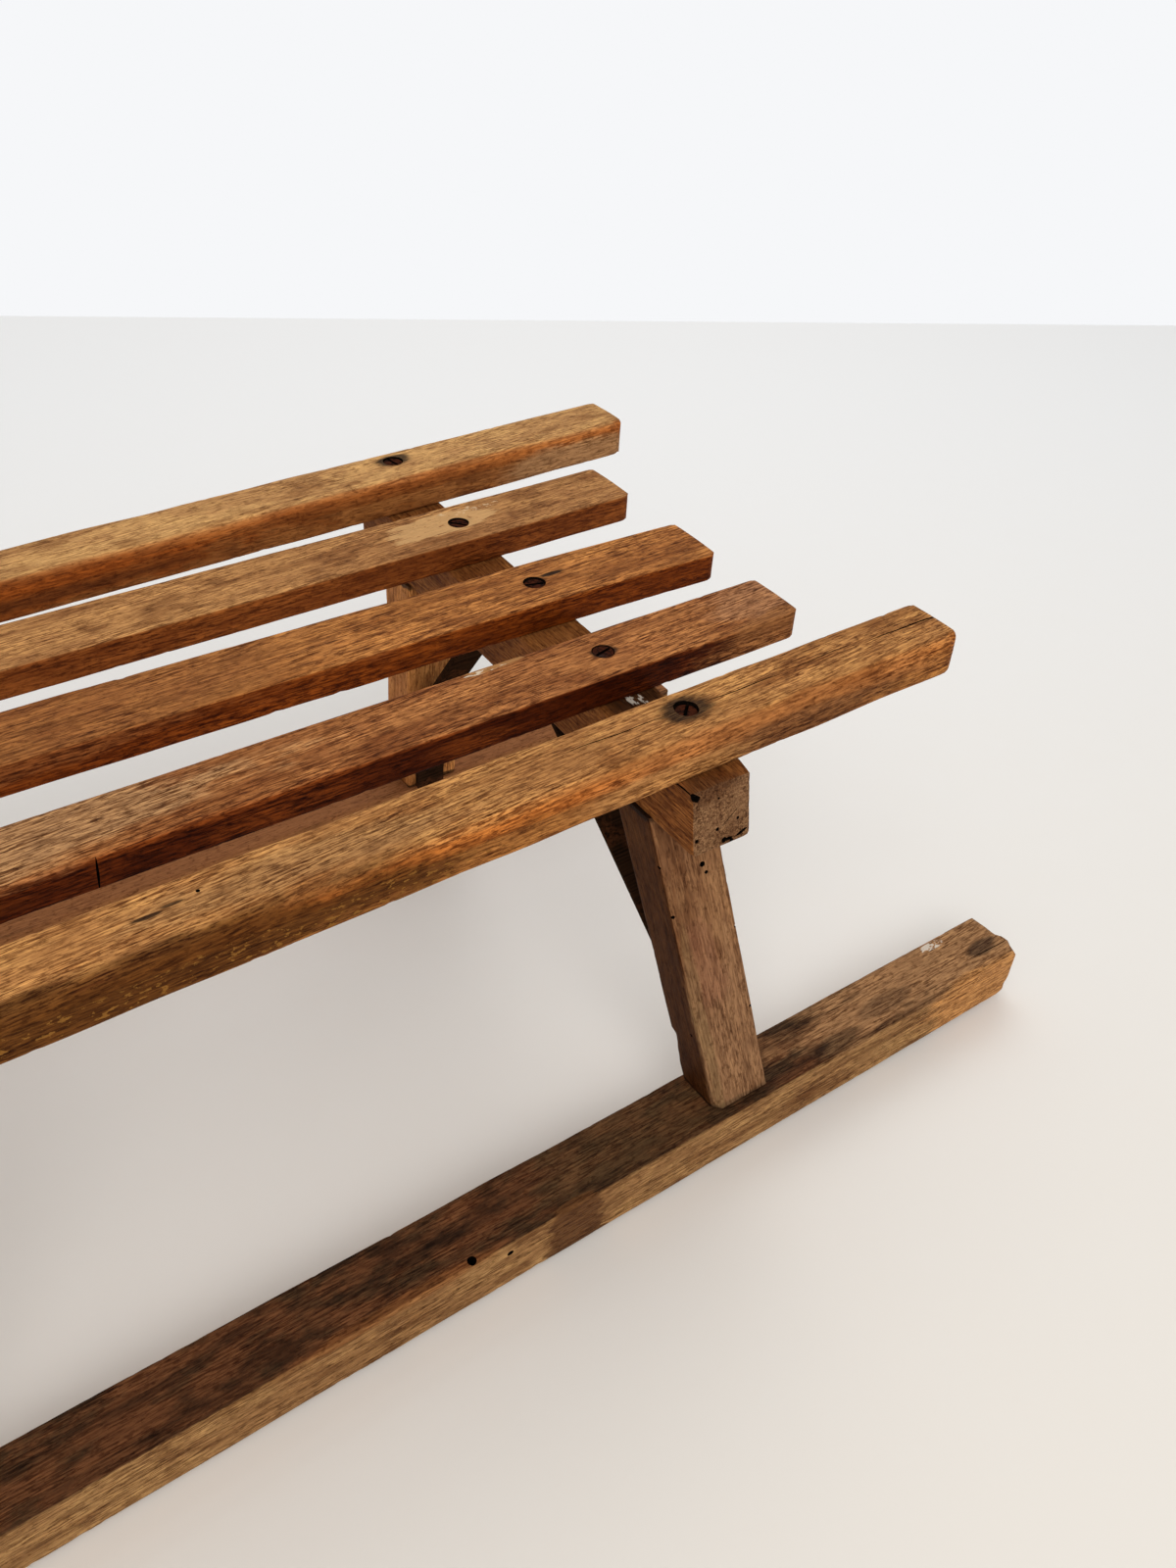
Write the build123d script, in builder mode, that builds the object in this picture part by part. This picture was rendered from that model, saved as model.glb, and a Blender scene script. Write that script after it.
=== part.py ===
"""Slatted wooden sled: two runners bent up at the front, two bridges, five seat slats.

Millimetres. +X forward, +Y to the sled's left, +Z up. The origin is on the floor,
under the middle of the sled's overall length and width.
"""
import os
from math import atan2, cos, hypot, radians, sin, tan

from build123d import *

# ---------------------------------------------------------------- driving dimensions
overall_length = 912.0       # left runner's tail to the front ends of the outer slats
joint_clearance = 0.15       # all round a tenon, a rod or a shank in its hole
shoe_clearance = 0.1         # between a steel shoe and the wood it is nailed to

# Runners: one bar each, straight on the snow and bent up into a horn at the front.
runner_spread = 299.5        # between the runners' centre lines
runner_width = 33.6
runner_height = 32.3
runner_easing = 0.8          # chamfer along its edges
tail_radius = 12.0           # rounding under the tail end
tail_cuts = {"left": 0.0, "right": 17.0}    # how far each tail stands ahead of the sled's rear end
bend_radius = 215.0          # of the runner's centre line
bend_angle = 78.0            # the horn's top still leans forward by the rest of a right angle
horn_setback = 8.0           # from the slats' front ends back to the shoe's front

# Steel shoes under the runners and up the front of the horns.
shoe_thickness = 3.0
shoe_width = 22.0
shoe_tail_gap = 16.0         # bare wood behind the shoe
shoe_top_gap = 24.0          # bare wood between the shoe's top end and the slat

# Bridges: a crossbeam on two legs that splay outwards, with an iron stay inside.
rear_overhang = 228.1        # the sled's rear end to the rear crossbeam's middle
bridge_spacing = 372.4
leg_height = 171.8           # shoulder to shoulder, upright
leg_depth = 33.6             # along X
leg_thickness = 26.0         # along Y
leg_easing = 1.0             # chamfer along its edges
leg_foot_inset = 6.0         # runner's outer face to the leg's outer face
leg_head_inset = 28.7        # crossbeam's end to the leg's outer face
rear_feet = {"left": 27.0, "right": 21.9}   # behind the rear crossbeam's middle
front_feet = {"left": 27.0, "right": 27.0}  # ahead of the front crossbeam's middle
tenon_depth = 22.0           # along X
tenon_thickness = 11.0
tenon_length = 20.0          # upright
tenon_easing = 0.8
beam_length = 294.2
beam_shift = 4.6             # towards the left, as the bridges were put together
rear_beam_skew = 0.023       # its left end stands this much ahead, for each millimetre of length
beam_corner_radius = 2.0     # upright corners of its ends
beam_depth = 30.6            # along X
beam_height = 30.4
beam_easing = 1.0            # chamfer along its edges

stay_width = 18.0
stay_thickness = 3.0
stay_shift = 2.5             # the strap sits this far in front of the bridge's middle
stay_pad = 73.6              # flat length under the crossbeam
stay_lap = 2.0               # how far each half's drawing runs past the middle of the pad
stay_slope = 0.79            # sideways run for each millimetre of drop
stay_bend_radius = 9.0
stay_foot_gap = 0.5          # above the runner
stay_hole_radius = 2.2       # for the screws in the crossbeam and the nails in the legs
stay_hole_spacing = 44.0     # between the two holes in the pad
stay_foot_hole = 16.0        # above the runner

# Seat slats, as they were fixed down by hand: each one's place across the rear crossbeam, its yaw in
# degrees, and how far its screws stand ahead of the crossbeams' middles and left of its own middle.
outer_slats = {"slat_outer_right": (-124.6, 1.3, 1.2, -5.6), "slat_outer_left": (123.6, 0.14, 0.3, -3.9)}
inner_slats = {
    "slat_inner_right": (-64.0, 0.06, 0.2, -0.2),
    "slat_middle": (2.0, -1.07, -2.3, -0.4),
    "slat_inner_left": (64.1, -0.23, 2.3, 0.0),
}
outer_width = 32.6
outer_thickness = 18.7
outer_round = 6.5            # worn top edge on the left
outer_easing = 2.2           # its other edges
outer_tail = 137.1           # behind the rear crossbeam's middle
inner_width = 35.3
inner_thickness = 14.2
inner_easing = 1.0
inner_tail = 94.1
inner_nose = 88.0            # ahead of the front crossbeam's middle
slat_corner_radius = 2.5
screw_shank_radius = 2.3
screw_head_radius = 4.7
screw_head_sink = 1.2        # below the slat's top

# Cross rod between the horns, where the tow rope is tied.
rod_radius = 11.0
rod_end_radius = 8.0         # turned down to pass through the horns
rod_shoulder_gap = 0.3       # between its shoulders and the horns
rod_angle = 70.0             # how far round the bend it passes through the horns
rod_proud = 7.0              # past each horn's outer face

# ---------------------------------------------------------------- places that follow
runner_y = runner_spread / 2
runner_bottom = shoe_thickness + shoe_clearance
runner_mid_z = runner_bottom + runner_height / 2
runner_top = runner_bottom + runner_height
beam_bottom = runner_top + leg_height
beam_top = beam_bottom + beam_height
tail_x = -overall_length / 2
slat_front_x = overall_length / 2
rear_bridge_x = tail_x + rear_overhang
front_bridge_x = rear_bridge_x + bridge_spacing
bridges = {"rear": rear_bridge_x, "front": front_bridge_x}
beam_skews = {"rear": rear_beam_skew, "front": 0.0}
sides = {"left": 1, "right": -1}

bend = radians(bend_angle)
horn_rise = beam_top - runner_mid_z
horn_straight = (horn_rise - bend_radius * (1 - cos(bend))) / sin(bend)
horn_run = bend_radius * sin(bend) + horn_straight * cos(bend)
horn_half_depth = (runner_height / 2 + runner_bottom) / sin(bend)
bend_start_x = slat_front_x - horn_setback - horn_half_depth - horn_run
horn_top_x = bend_start_x + horn_run
rod_x = bend_start_x + bend_radius * sin(radians(rod_angle))
rod_z = runner_mid_z + bend_radius * (1 - cos(radians(rod_angle)))


def slat_y(name, x):
    """Place across of an outer slat's centre line at x."""
    y, yaw, _, _ = outer_slats[name]
    return y + (x - rear_bridge_x) * tan(radians(yaw))


# Each horn leans in, so that its top meets the outer slat above it.
lean = {}
for side, sign in sides.items():
    lean[side] = atan2(runner_y - sign * slat_y(f"slat_outer_{side}", horn_top_x), horn_rise)

# The middle of each leg at its foot and head, and how far it runs along X and Y for each millimetre
# of drop.
foot_y = runner_y + runner_width / 2 - leg_foot_inset - leg_thickness / 2
leg_heads = {}
leg_slopes = {}
for bridge, bridge_x in bridges.items():
    for side, sign in sides.items():
        foot_x = bridge_x + (front_feet[side] if bridge == "front" else -rear_feet[side])
        head_y = sign * (beam_length / 2 - leg_head_inset - leg_thickness / 2) + beam_shift
        head_x = bridge_x + beam_skews[bridge] * head_y
        leg_heads[bridge, side] = Vector(head_x, head_y, beam_bottom)
        leg_slopes[bridge, side] = Vector(foot_x - head_x, sign * foot_y - head_y, -leg_height) / leg_height


def finish(part, name):
    """Label a finished piece and write it out."""
    part.label = name
    export_step(part, f"parts/{name}.step")


def bent_bar(side, profile, tail, rise):
    """A bar along the runner's line: straight from the tail, round the bend and up the horn.

    The profile is drawn round the runner's middle. The bar is cut level at the height rise.
    """
    sign = sides[side]
    tilt = lean[side]
    start = Vector(bend_start_x, sign * runner_y, runner_mid_z)
    up = Vector(0, -sign * sin(tilt), cos(tilt))
    turn = Axis(start + up * bend_radius, Vector(0, -cos(tilt), -sign * sin(tilt)))
    top = start + Vector(1, 0, 0) * (bend_radius * sin(bend)) + up * (bend_radius * (1 - cos(bend)))
    across = Vector(0, 1, 0).rotate(Axis((0, 0, 0), turn.direction), bend_angle)
    along = Vector(1, 0, 0) * cos(bend) + up * sin(bend)
    with BuildPart() as bar:
        with BuildSketch(Plane(start, x_dir=(0, 1, 0), z_dir=(1, 0, 0))) as section:
            add(profile)
        extrude(amount=-(bend_start_x - tail))
        revolve(section.sketch, axis=turn, revolution_arc=bend_angle)
        with BuildSketch(Plane(top, x_dir=across, z_dir=along)):
            add(profile)
        extrude(amount=horn_straight + runner_height)
        split(bisect_by=Plane.XY.offset(rise), keep=Keep.BOTTOM)
    return bar.part


def leg_middle(bridge, side, height):
    """The middle of a leg at this height."""
    return leg_heads[bridge, side] + leg_slopes[bridge, side] * (beam_bottom - height)


def leg_bar(bridge, side, depth, thickness, easing, low, high):
    """A bar along a leg's line, from height low to height high, cut level at both ends."""
    middle = leg_middle(bridge, side, low)
    line = leg_middle(bridge, side, high) - middle
    with BuildPart() as bar:
        with BuildSketch(Plane.XY.offset(low)) as section:
            with Locations((middle.X, middle.Y)):
                Rectangle(depth, thickness)
            chamfer(section.vertices(), easing)
        extrude(amount=line.length, dir=line.normalized())
    return bar.part


def tenons(bridge, side, clearance):
    """The tenon at each end of a leg, or with a clearance the mortises for them."""
    size = (tenon_depth + 2 * clearance, tenon_thickness + 2 * clearance, tenon_easing)
    foot = leg_bar(bridge, side, *size, runner_top - tenon_length - clearance, runner_top + 1)
    head = leg_bar(bridge, side, *size, beam_bottom - 1, beam_bottom + tenon_length + clearance)
    return foot, head


os.makedirs("parts", exist_ok=True)

# ---------------------------------------------------------------- runners and their shoes
with BuildSketch() as runner_profile:
    Rectangle(runner_width, runner_height)
    chamfer(runner_profile.vertices(), runner_easing)
with BuildSketch() as shoe_profile:
    with Locations((0, -runner_height / 2 - shoe_clearance - shoe_thickness / 2)):
        Rectangle(shoe_width, shoe_thickness)

for side, sign in sides.items():
    end_x = tail_x + tail_cuts[side]
    with BuildPart() as runner:
        add(bent_bar(side, runner_profile.sketch, end_x, beam_top))
        for bridge in bridges:
            add(tenons(bridge, side, joint_clearance)[0], mode=Mode.SUBTRACT)
        with Locations(Location((rod_x, sign * runner_y, rod_z), (90, 0, 0))):
            Cylinder(rod_end_radius + joint_clearance, 3 * runner_width, mode=Mode.SUBTRACT)
        with BuildSketch(Plane.XZ):
            with BuildLine():
                low = runner_bottom
                Line((end_x - 1, low - 1), (end_x + tail_radius, low - 1))
                Line((end_x + tail_radius, low - 1), (end_x + tail_radius, low))
                RadiusArc((end_x + tail_radius, low), (end_x, low + tail_radius), tail_radius)
                Line((end_x, low + tail_radius), (end_x - 1, low + tail_radius))
                Line((end_x - 1, low + tail_radius), (end_x - 1, low - 1))
            make_face()
        extrude(amount=runner_spread, both=True, mode=Mode.SUBTRACT)
    finish(runner.part, f"runner_{side}")

    with BuildPart() as shoe:
        add(bent_bar(side, shoe_profile.sketch, end_x + shoe_tail_gap, beam_top - shoe_top_gap))
    finish(shoe.part, f"shoe_{side}")

# ---------------------------------------------------------------- bridges
for bridge, bridge_x in bridges.items():
    across = Vector(beam_skews[bridge], 1, 0).normalized()
    ahead = across.rotate(Axis.Z, -90)
    middle = Vector(bridge_x, 0, beam_bottom) + across * beam_shift
    with BuildPart() as beam:
        with BuildSketch(Plane(middle, x_dir=ahead, z_dir=-across)) as section:
            with Locations((0, beam_height / 2)):
                Rectangle(beam_depth, beam_height)
            chamfer(section.vertices(), beam_easing)
        extrude(amount=beam_length / 2, both=True)
        ends = beam.faces().sort_by(Axis.Y)
        fillet((ends[:1] + ends[-1:]).edges().filter_by(Axis.Z), beam_corner_radius)
        for side in sides:
            add(tenons(bridge, side, joint_clearance)[1], mode=Mode.SUBTRACT)
    finish(beam.part, f"crossbeam_{bridge}")

    for side in sides:
        with BuildPart() as leg:
            add(leg_bar(bridge, side, leg_depth, leg_thickness, leg_easing, runner_top, beam_bottom))
            for tenon in tenons(bridge, side, 0):
                add(tenon)
        finish(leg.part, f"leg_{bridge}_{side}")

    # The stay is one strap: flat under the crossbeam, down to each leg and along it to the foot.
    # Each half is drawn in the plane through the crossbeam's line and the leg's, and is as wide as
    # stay_width along the sled. The halves meet in the flat pad.
    with BuildPart() as stay:
        for side, sign in sides.items():
            slope = leg_slopes[bridge, side]
            inside = leg_heads[bridge, side].Y - sign * leg_thickness / 2
            middle = Vector(bridge_x + stay_shift - stay_width / 2, 0, beam_bottom)
            lap = middle - across * (sign * stay_lap)
            pad_end = middle + across * (sign * stay_pad / 2)
            meet_drop = (abs(inside) - stay_pad / 2) / (stay_slope - sign * slope.Y)
            inner_face = middle + across * (inside / across.Y)
            meet = inner_face + slope * meet_drop
            foot = inner_face + slope * (leg_height - stay_foot_gap)
            raked = Plane(middle, x_dir=across, z_dir=across.cross(slope) * -1)
            route = [raked.to_local_coords(point) for point in (lap, pad_end, meet, foot)]
            with BuildSketch(raked):
                with BuildLine():
                    FilletPolyline(*route, radius=stay_bend_radius)
                    offset(amount=stay_thickness, side=Side.RIGHT if sign > 0 else Side.LEFT)
                make_face()
            extrude(amount=stay_width, dir=(1, 0, 0))
            foot_hole = leg_middle(bridge, side, runner_top + stay_foot_hole)
            with Locations(Location((foot_hole.X + stay_shift, inside, foot_hole.Z), (90, 0, 0))):
                Cylinder(stay_hole_radius, leg_height, mode=Mode.SUBTRACT)
        with Locations(Plane.XY.offset(beam_bottom)):
            for spot in (-stay_hole_spacing / 2, stay_hole_spacing / 2):
                with Locations((bridge_x + stay_shift + across.X * spot, spot)):
                    Hole(stay_hole_radius, depth=2 * stay_thickness)
    finish(stay.part, f"stay_{bridge}")

# ---------------------------------------------------------------- seat slats
up_left = Axis((0, 0, 0), (1, 1, 0))    # in a slat's section, towards its worn edge
for name, (y, yaw, ahead, aside) in (outer_slats | inner_slats).items():
    outer = name in outer_slats
    width = outer_width if outer else inner_width
    thickness = outer_thickness if outer else inner_thickness
    tail = outer_tail if outer else inner_tail
    nose = slat_front_x - rear_bridge_x if outer else bridge_spacing + inner_nose
    skew = cos(radians(yaw))
    along = (skew, sin(radians(yaw)), 0)
    top = Plane((rear_bridge_x, y, beam_top), x_dir=along, z_dir=(0, 0, 1)).offset(thickness)
    end = Plane((rear_bridge_x, y, beam_top), x_dir=(-along[1], along[0], 0), z_dir=along)
    length = (tail + nose) / skew
    screws = []
    for bridge, bridge_x in bridges.items():
        screws.append(((bridge_x - rear_bridge_x + beam_skews[bridge] * y + ahead) / skew, aside))
    if outer:
        screws.append(((horn_top_x - rear_bridge_x) / skew, 0))
    with BuildPart() as slat:
        with BuildSketch(top):
            with Locations((length / 2 - tail / skew, 0)):
                RectangleRounded(length, width, slat_corner_radius)
        extrude(amount=-thickness)
        with BuildSketch(end) as section:
            with Locations((0, thickness / 2)):
                Rectangle(width, thickness)
            if outer:
                chamfer(section.vertices().sort_by(up_left)[:-1], outer_easing)
                fillet(section.vertices().sort_by(up_left)[-1:], outer_round)
            else:
                chamfer(section.vertices(), inner_easing)
        extrude(amount=overall_length, both=True, mode=Mode.INTERSECT)
        with Locations(top.offset(-screw_head_sink)):
            with Locations(*screws):
                CounterSinkHole(screw_shank_radius, screw_head_radius)
    finish(slat.part, name)

# ---------------------------------------------------------------- cross rod
rod_ends = []
rod_shoulders = []
for side, sign in sides.items():
    middle = runner_y - tan(lean[side]) * (rod_z - runner_mid_z)
    half_width = runner_width / 2 / cos(lean[side])
    shoulder_lean = tan(lean[side]) * rod_radius
    rod_ends.append(sign * (middle + half_width + rod_proud))
    rod_shoulders.append(sign * (middle - half_width - shoulder_lean - rod_shoulder_gap))
with BuildPart() as rod:
    for ends, radius in ((rod_ends, rod_end_radius), (rod_shoulders, rod_radius)):
        with BuildSketch(Plane.XZ.offset(-min(ends))):
            with Locations((rod_x, rod_z)):
                Circle(radius)
        extrude(amount=min(ends) - max(ends))
    ends_round = rod.edges().filter_by(GeomType.CIRCLE).group_by(Axis.Y)
    chamfer(ends_round[0] + ends_round[-1], 1.5)
finish(rod.part, "cross_rod")
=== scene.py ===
from math import atan2, copysign, cos, exp, hypot, pi, radians, sin

import bmesh
import bpy
from mathutils import Matrix, Vector, noise


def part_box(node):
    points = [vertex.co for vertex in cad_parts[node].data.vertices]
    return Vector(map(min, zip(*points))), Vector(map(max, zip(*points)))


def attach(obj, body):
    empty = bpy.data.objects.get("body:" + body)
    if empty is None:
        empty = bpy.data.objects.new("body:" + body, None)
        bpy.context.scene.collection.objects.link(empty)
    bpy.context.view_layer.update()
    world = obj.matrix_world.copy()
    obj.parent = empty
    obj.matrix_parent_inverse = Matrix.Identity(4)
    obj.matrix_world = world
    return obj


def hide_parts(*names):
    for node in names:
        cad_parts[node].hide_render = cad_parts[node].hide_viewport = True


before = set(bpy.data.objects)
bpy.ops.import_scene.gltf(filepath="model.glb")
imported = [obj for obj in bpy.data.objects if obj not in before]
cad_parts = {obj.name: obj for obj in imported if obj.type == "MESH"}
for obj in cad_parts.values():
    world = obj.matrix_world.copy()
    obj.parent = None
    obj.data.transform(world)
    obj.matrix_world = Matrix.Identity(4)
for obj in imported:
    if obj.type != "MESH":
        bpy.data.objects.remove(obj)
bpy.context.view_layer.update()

# ------------------------------------------------------------------ runners
# Two beech bars, each steamed and bent up in front into a horn that leans in to the seat. Their tops
# are black-brown from wet boots and snow, and their sides are rubbed pale. Metres, as everywhere here.
runner_width = 0.0336
runner_height = 0.0323
bend_radius = 0.215
bend = radians(78)
heel_round = 0.012           # under the tail's end
beam_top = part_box("crossbeam_front")[1].z


def bar(start, end, width, height, step, rows):
    """A sawn bar along X, in small faces that lie closer together towards its edges and ends.

    step is the length of a face, and rows are the cuts between its sides and between its top and
    bottom.
    """
    bm = bmesh.new()
    bmesh.ops.create_cube(bm, size=2)
    count = round((end - start) / step)
    for axis, cuts in ((1, rows[0]), (2, rows[1]), (0, count)):
        edges = [e for e in bm.edges if abs(e.verts[0].co[axis] - e.verts[1].co[axis]) > 1e-6]
        bmesh.ops.subdivide_edges(bm, edges=edges, cuts=cuts, use_grid_fill=True)
    pitch = (end - start) / (count + 1)
    close_rows = 6               # at each end
    closest = 0.2                # of a full step
    crowding = 0.4               # towards the long edges
    for v in bm.verts:
        row = (v.co.x + 1) / 2 * (count + 1)
        near = min(row, count + 1 - row)
        along = near * pitch * min(1, closest + (1 - closest) * near / close_rows)
        y, z = (t * (1 + crowding - crowding * t * t) for t in v.co[1:])
        v.co = (start + along if row == near else end - along, y * width / 2, z * height / 2)
    return bm


def ease(p, half, i, j, radius):
    """Draws the square corner between the faces across axes i and j in to a quarter circle."""
    a = abs(p[i]) - half[i] + radius
    b = abs(p[j]) - half[j] + radius
    if a > 0 and b > 0:
        keep = max(a, b) / hypot(a, b)
        p[i] = copysign(half[i] - radius + a * keep, p[i])
        p[j] = copysign(half[j] - radius + b * keep, p[j])


def wear(bm, seed, edge, end=0.0015, heel=0.0, corners=(0.002, 0.002), rough=0.00012):
    """Rounds a bar's edges and ends, more in some places than others, and dulls its faces.

    edge(side, top) is the rounding of a long edge, where side and top are 1 or -1. heel is the
    rounding under its first end, and corners those of its ends' right and left corners, seen from
    above. rough is how deep its faces are worn.
    """
    low, high = (Vector([pick(v.co[k] for v in bm.verts) for k in range(3)]) for pick in (min, max))
    middle = (low + high) / 2
    half = (high - low) / 2
    for v in bm.verts:
        p = v.co - middle
        side = copysign(1, p.y)
        top = copysign(1, p.z)
        wander = noise.noise(Vector((v.co.x * 28, side * 3 + seed, top * 5)))
        nick = max(0, noise.noise(Vector((v.co.x * 140, side * 7, top * 9 + seed))) - 0.32)
        ease(p, half, 1, 2, edge(side, top) * (1 + 0.45 * wander) + 0.0025 * nick)
        ease(p, half, 0, 1, corners[side > 0])
        ease(p, half, 0, 2, heel if heel and p.x < 0 and p.z < 0 else end)
        v.co = p + middle
    bm.normal_update()
    for v in bm.verts:
        p = v.co + Vector((seed, seed, 0))
        dip = 1 + noise.noise(p * 24)
        ridge = 1 + noise.noise(Vector((p.x * 45, p.y * 420, p.z * 420)))
        pit = max(0, noise.noise(Vector((p.x * 160, p.y * 260, p.z * 260))) - 0.35)
        v.co -= v.normal * rough * (dip + 0.45 * ridge + 2.5 * pit)


def shave(bm, point, normal, ragged=0.0, only=None):
    """Takes off what lies beyond a plane, as a chip or a knock does, and leaves a ragged face.

    only(p) keeps it to one stretch of the bar.
    """
    normal = Vector(normal).normalized()
    for v in bm.verts:
        beyond = (v.co - Vector(point)).dot(normal)
        if beyond > 0 and (only is None or only(v.co)):
            bite = ragged * noise.noise(Vector((v.co.x * 300, v.co.y * 500, v.co.z * 500)))
            v.co -= normal * (beyond + bite * min(1, beyond / 0.002))


def bore(cutter, spot, direction, radius, depth):
    """Adds a borer's hole to a cutter: round, straight in from the surface at that spot."""
    direction = Vector(direction).normalized()
    turn = direction.to_track_quat("Z", "Y").to_matrix().to_4x4()
    place = Matrix.Translation(Vector(spot) - direction * depth / 2) @ turn
    taper = 0.8
    bmesh.ops.create_cone(
        cutter, cap_ends=True, segments=12, radius1=radius * taper, radius2=radius, depth=2 * depth,
        matrix=place,
    )


def put_in(cutter, part):
    """Adds a separate part to a cutter."""
    mesh = bpy.data.meshes.new("part")
    part.to_mesh(mesh)
    part.free()
    cutter.from_mesh(mesh)
    bpy.data.meshes.remove(mesh)


def crack(cutter, start, end, normal, width, depth, wander, seed):
    """Adds a split to a cutter: a thin wavy wedge in the surface, from start to end."""
    start = Vector(start)
    normal = Vector(normal).normalized()
    along = Vector(end) - start
    across = normal.cross(along).normalized()
    length = along.length
    wedge = bmesh.new()
    bmesh.ops.create_cube(wedge, size=2)
    edges = [e for e in wedge.edges if abs(e.verts[0].co.x - e.verts[1].co.x) > 1]
    step = 0.003
    bmesh.ops.subdivide_edges(wedge, edges=edges, cuts=max(4, int(length / step)), use_grid_fill=True)
    for v in wedge.verts:
        t = (v.co.x + 1) / 2
        gape = width * (0.12 + 0.88 * max(0, sin(pi * t)) ** 0.6) / 2
        shift = wander * noise.noise(Vector((t * length * 60, seed, 0)))
        drop = depth
        if v.co.z < 0:
            gape *= 0.3
            drop = -depth * (0.5 + 0.5 * sin(pi * t))
        v.co = start + along * t + across * (gape * v.co.y + shift) + normal * drop
    put_in(cutter, wedge)


def carve(bm, cutter, skins, tangled=False):
    """Cuts a cutter out of a piece, whose cut faces take the second skin, and does away with it.

    In a tangled cutter the holes and splits run into each other.
    """
    for f in cutter.faces:
        f.material_index = 1
    holders = []
    for source in (bm, cutter):
        bmesh.ops.recalc_face_normals(source, faces=source.faces)
        mesh = bpy.data.meshes.new("cut")
        for skin in skins:
            mesh.materials.append(skin)
        source.to_mesh(mesh)
        holders.append(bpy.data.objects.new("cut", mesh))
        bpy.context.scene.collection.objects.link(holders[-1])
    cutter.free()
    cut = holders[0].modifiers.new("cut", "BOOLEAN")
    cut.object = holders[1]
    cut.solver = "EXACT"
    cut.use_self = tangled
    graph = bpy.context.evaluated_depsgraph_get()
    result = bpy.data.meshes.new_from_object(holders[0].evaluated_get(graph))
    bm.clear()
    bm.from_mesh(result)
    for mesh in (holders[0].data, holders[1].data, result):
        bpy.data.meshes.remove(mesh)         # with the object that holds it


def finish_piece(name, bm, skins, cad_name=None):
    """Makes a shape one piece of the sled, which stands for a CAD node where that is named."""
    mesh = bpy.data.meshes.new(name)
    bm.to_mesh(mesh)
    bm.free()
    for skin in skins:
        mesh.materials.append(skin)
    piece = bpy.data.objects.new(name, mesh)
    bpy.context.scene.collection.objects.link(piece)
    if cad_name:
        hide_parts(cad_name)
    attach(piece, "root")


def fit_in(name, bm, place, skins, cad_name):
    """Notes each point's place in the straight bar for its grain, and puts the piece in its place in
    the sled."""
    bm.normal_update()
    grain = bm.verts.layers.float_vector.new("grain")
    facing = bm.verts.layers.float_vector.new("facing")
    for v in bm.verts:
        v[grain] = v.co
        outside = (f.normal for f in v.link_faces if f.material_index == 0)
        v[facing] = sum(outside, Vector()).normalized()
    for v in bm.verts:
        v.co = place(v.co)
    for f in bm.faces:
        f.smooth = True
    for e in bm.edges:
        e.smooth = len({f.material_index for f in e.link_faces}) == 1
    finish_piece(name, bm, skins, cad_name)


def tone(red, green, blue):
    """A colour from its usual 0 to 255 values."""
    return (*(((c / 255 + 0.055) / 1.055) ** 2.4 for c in (red, green, blue)), 1)


def shades(red, green, blue, spread=1.0):
    """The light, middle and dark tones of one wood, from its middle one."""
    middle = tone(red, green, blue)
    light = (*(c * (1 + gain * spread) for c, gain in zip(middle, (0.28, 0.38, 0.38))), 1)
    dark = (*(c * share**spread for c, share in zip(middle, (0.5, 0.39, 0.31))), 1)
    return light, middle, dark


def node(tree, kind, inputs=(), output=0, **settings):
    """Adds a shader node, with a value or a link for each input that is named, and gives its output."""
    made = tree.nodes.new("ShaderNode" + kind)
    for key, value in settings.items():
        setattr(made, key, value)
    for key, value in dict(inputs).items():
        if isinstance(value, bpy.types.NodeSocket):
            tree.links.new(value, made.inputs[key])
        else:
            made.inputs[key].default_value = value
    return made.outputs[output]


def figure(tree, where, scale, detail, seed):
    """A pattern from 0 to 1, with scale lines to the metre along, across and up."""
    shift = (seed * 3.1, seed * 1.7, seed * 2.3)
    at = node(tree, "Mapping", {"Vector": where, "Scale": scale, "Location": shift})
    return node(tree, "TexNoise", {"Vector": at, "Scale": 1, "Detail": detail, "Roughness": 0.6})


def reach(tree, value, low, high):
    """0 where the value is below low, 1 above high, and soft between. low may be the larger."""
    limits = {"Value": value, "From Min": low, "From Max": high}
    return node(tree, "MapRange", limits, interpolation_type="SMOOTHSTEP")


def combine(tree, operation, a, b=0.0):
    """Two values added, multiplied and so on."""
    return node(tree, "Math", {0: a, 1: b}, operation=operation)


def over(tree, amount, under, top, way="MIX"):
    """One colour laid over another."""
    return node(tree, "Mix", {0: amount, 6: under, 7: top}, 2, data_type="RGBA", blend_type=way)


def hole_shade_skin():
    """Painted shade inside holes, splits and screw slots: near black, with a little dust in it."""
    material = bpy.data.materials.new("painted_shade_in_holes")
    material.use_nodes = True
    tree = material.node_tree
    skin = tree.nodes["Principled BSDF"]
    skin.inputs["Roughness"].default_value = 0.9
    skin.inputs["Specular IOR Level"].default_value = 0
    where = node(tree, "TexCoord", output=3)
    dust = reach(tree, figure(tree, where, (900, 900, 900), 3, 1), 0.5, 0.8)
    tree.links.new(over(tree, dust, tone(10, 7, 5), tone(40, 26, 17)), skin.inputs["Base Color"])
    return material


def oval_mask(tree, grain, place, size, ragged, soft=0.5):
    """1 within an oval of that place and size, and 0 beyond its ragged, more or less soft border."""
    at = node(tree, "Mapping", {"Vector": grain, "Location": place, "Scale": size}, vector_type="TEXTURE")
    far = node(tree, "VectorMath", {0: at}, 1, operation="LENGTH")
    return reach(tree, combine(tree, "ADD", far, ragged), 0.9 + soft / 2, 0.9 - soft / 2)


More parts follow.
